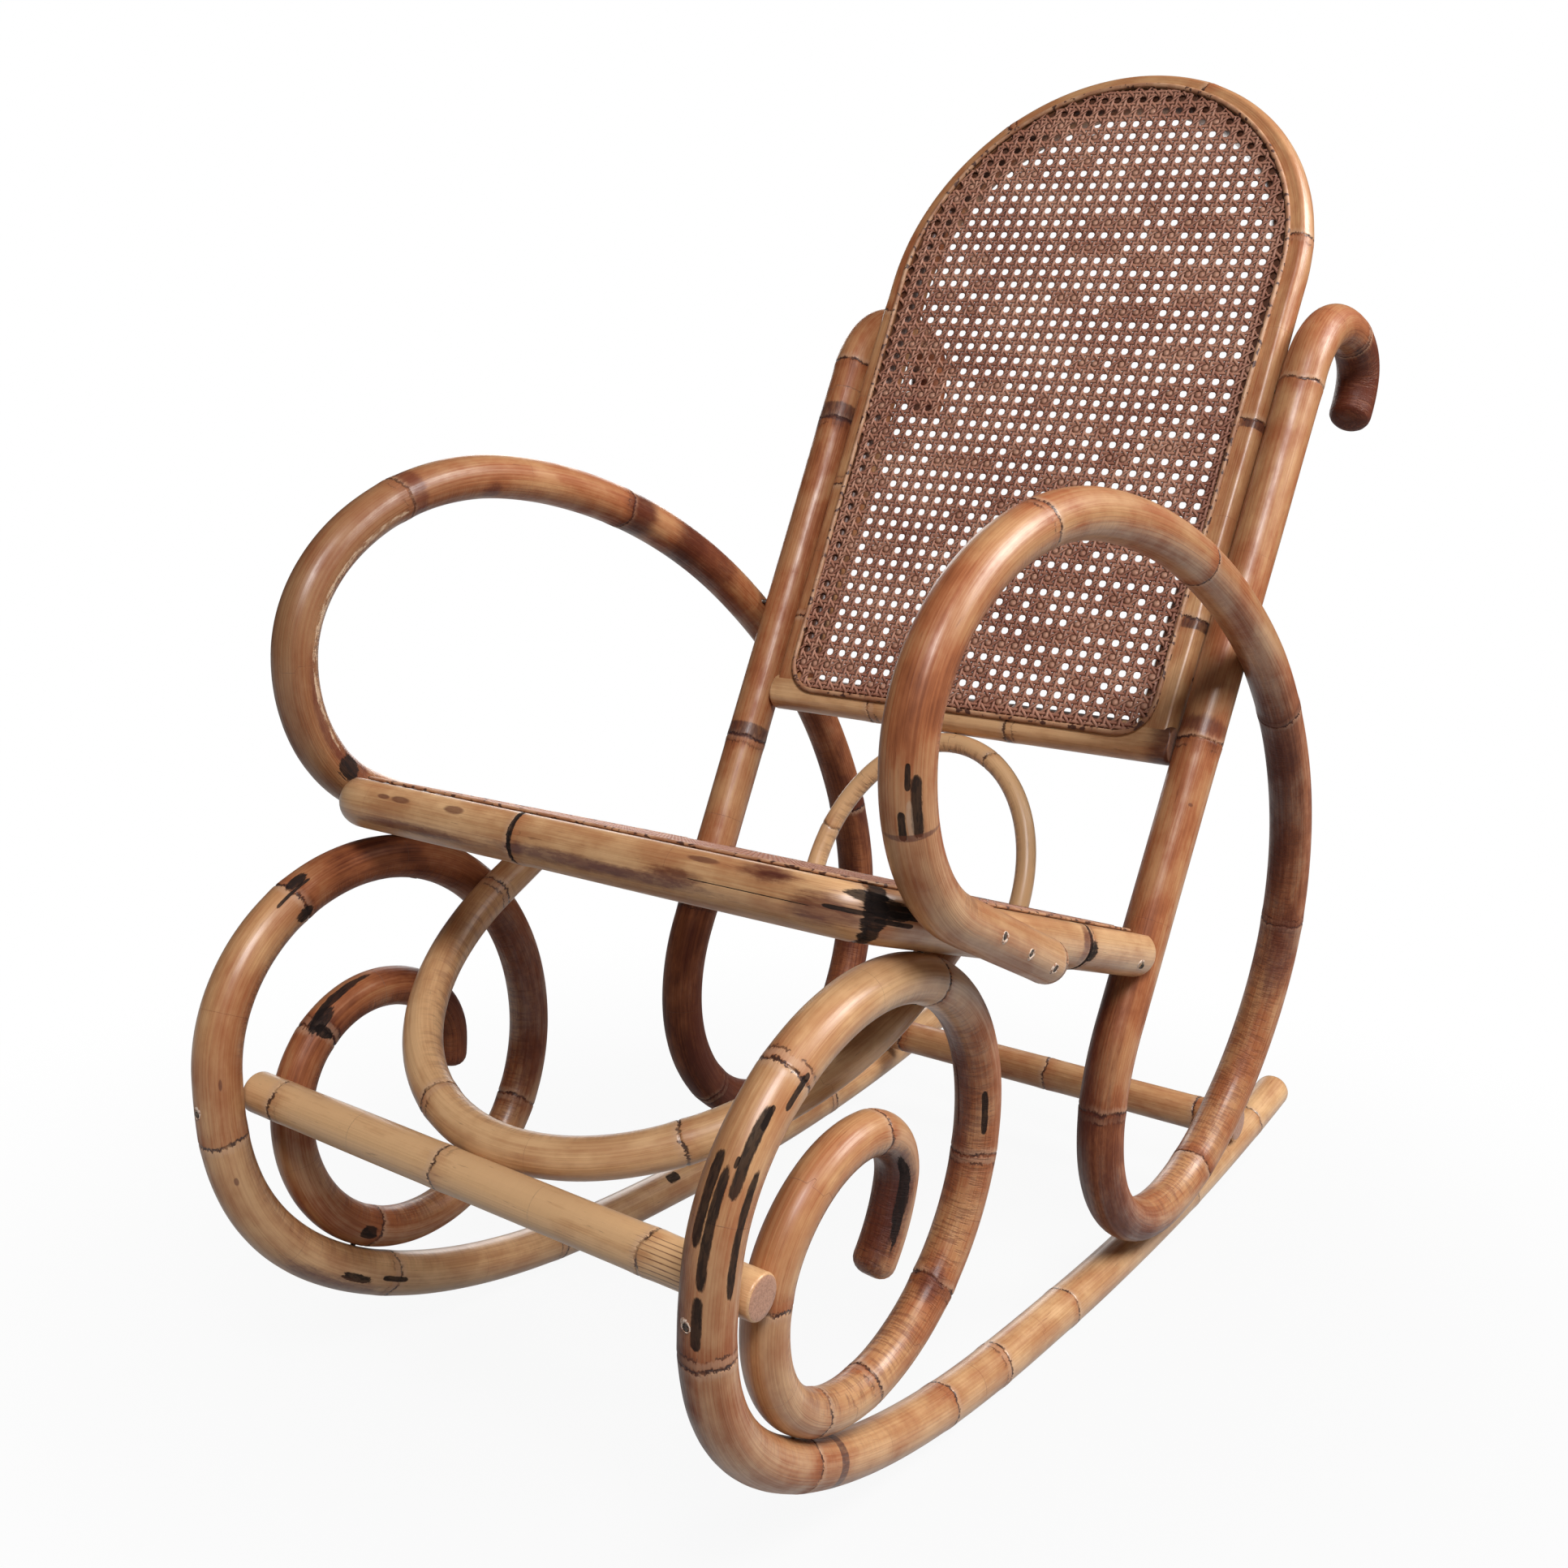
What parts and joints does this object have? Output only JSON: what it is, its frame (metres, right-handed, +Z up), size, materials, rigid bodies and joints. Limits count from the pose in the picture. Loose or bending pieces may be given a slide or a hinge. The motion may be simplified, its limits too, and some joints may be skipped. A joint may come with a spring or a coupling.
{
  "type": "rocking chair",
  "caption": "Bent rattan rocking chair: scrolled runners, looped posts that become arms, woven cane seat and arched reclined back.",
  "frame": {"origin": "on the floor, under the middle of the chair's box", "axes": "+Z up; -Y is the way a sitter faces; +X is the sitter's left, the viewer's right from the front"},
  "size_m": [0.561, 1.0486, 1.08],
  "materials": {
    "cane_honey": "varnished bent cane",
    "cane_pale": "varnished cane, pale",
    "cane_russet": "varnished cane, red-brown stain",
    "woven_cane": "split cane, aged",
    "reed": "reed bead, aged",
    "screw_steel": "dull steel",
    "dowel_beech": "bare wood"
  },
  "bodies": {
    "root": {"arm_post_screw_left": "screw_steel", "arm_post_screw_right": "screw_steel", "arm_tail_screw_1_left": "screw_steel", "arm_tail_screw_1_right": "screw_steel", "arm_tail_screw_2_left": "screw_steel", "arm_tail_screw_2_right": "screw_steel", "arm_tail_screw_3_left": "screw_steel", "arm_tail_screw_3_right": "screw_steel", "back_arch_frame": "cane_honey", "back_bead": "reed", "back_bottom_rail": "cane_honey", "back_cane_panel": "woven_cane", "back_corner_dowel_left": "dowel_beech", "back_corner_dowel_right": "dowel_beech", "back_post_screw_1_left": "screw_steel", "back_post_screw_1_right": "screw_steel", "back_post_screw_2_left": "screw_steel", "back_post_screw_2_right": "screw_steel", "coil_screw_left": "screw_steel", "coil_screw_right": "screw_steel", "front_stretcher": "cane_pale", "front_stretcher_screw_left": "screw_steel", "front_stretcher_screw_right": "screw_steel", "hoop_rail_screw_left": "screw_steel", "hoop_rail_screw_right": "screw_steel", "hoop_stretcher_screw": "screw_steel", "leg_hoop": "cane_honey", "loop_runner_screw_left": "screw_steel", "loop_runner_screw_right": "screw_steel", "post_arm_left": "cane_russet", "post_arm_right": "cane_russet", "rear_stretcher": "cane_pale", "rear_stretcher_screw_left": "screw_steel", "rear_stretcher_screw_right": "screw_steel", "runner_scroll_left": "cane_pale", "runner_scroll_right": "cane_pale", "scroll_seat_screw_left": "screw_steel", "scroll_seat_screw_right": "screw_steel", "seat_bead": "reed", "seat_cane_panel": "woven_cane", "seat_frame": "cane_honey", "seat_post_screw_left": "screw_steel", "seat_post_screw_right": "screw_steel", "seat_rear_bead": "reed", "seat_rear_rail": "cane_russet", "seat_rear_rail_dowel_left": "dowel_beech", "seat_rear_rail_dowel_right": "dowel_beech", "thin_arch": "cane_honey", "thin_arch_dowel_left": "dowel_beech", "thin_arch_dowel_right": "dowel_beech", "thin_arch_screw": "screw_steel"}
  },
  "joints": []
}
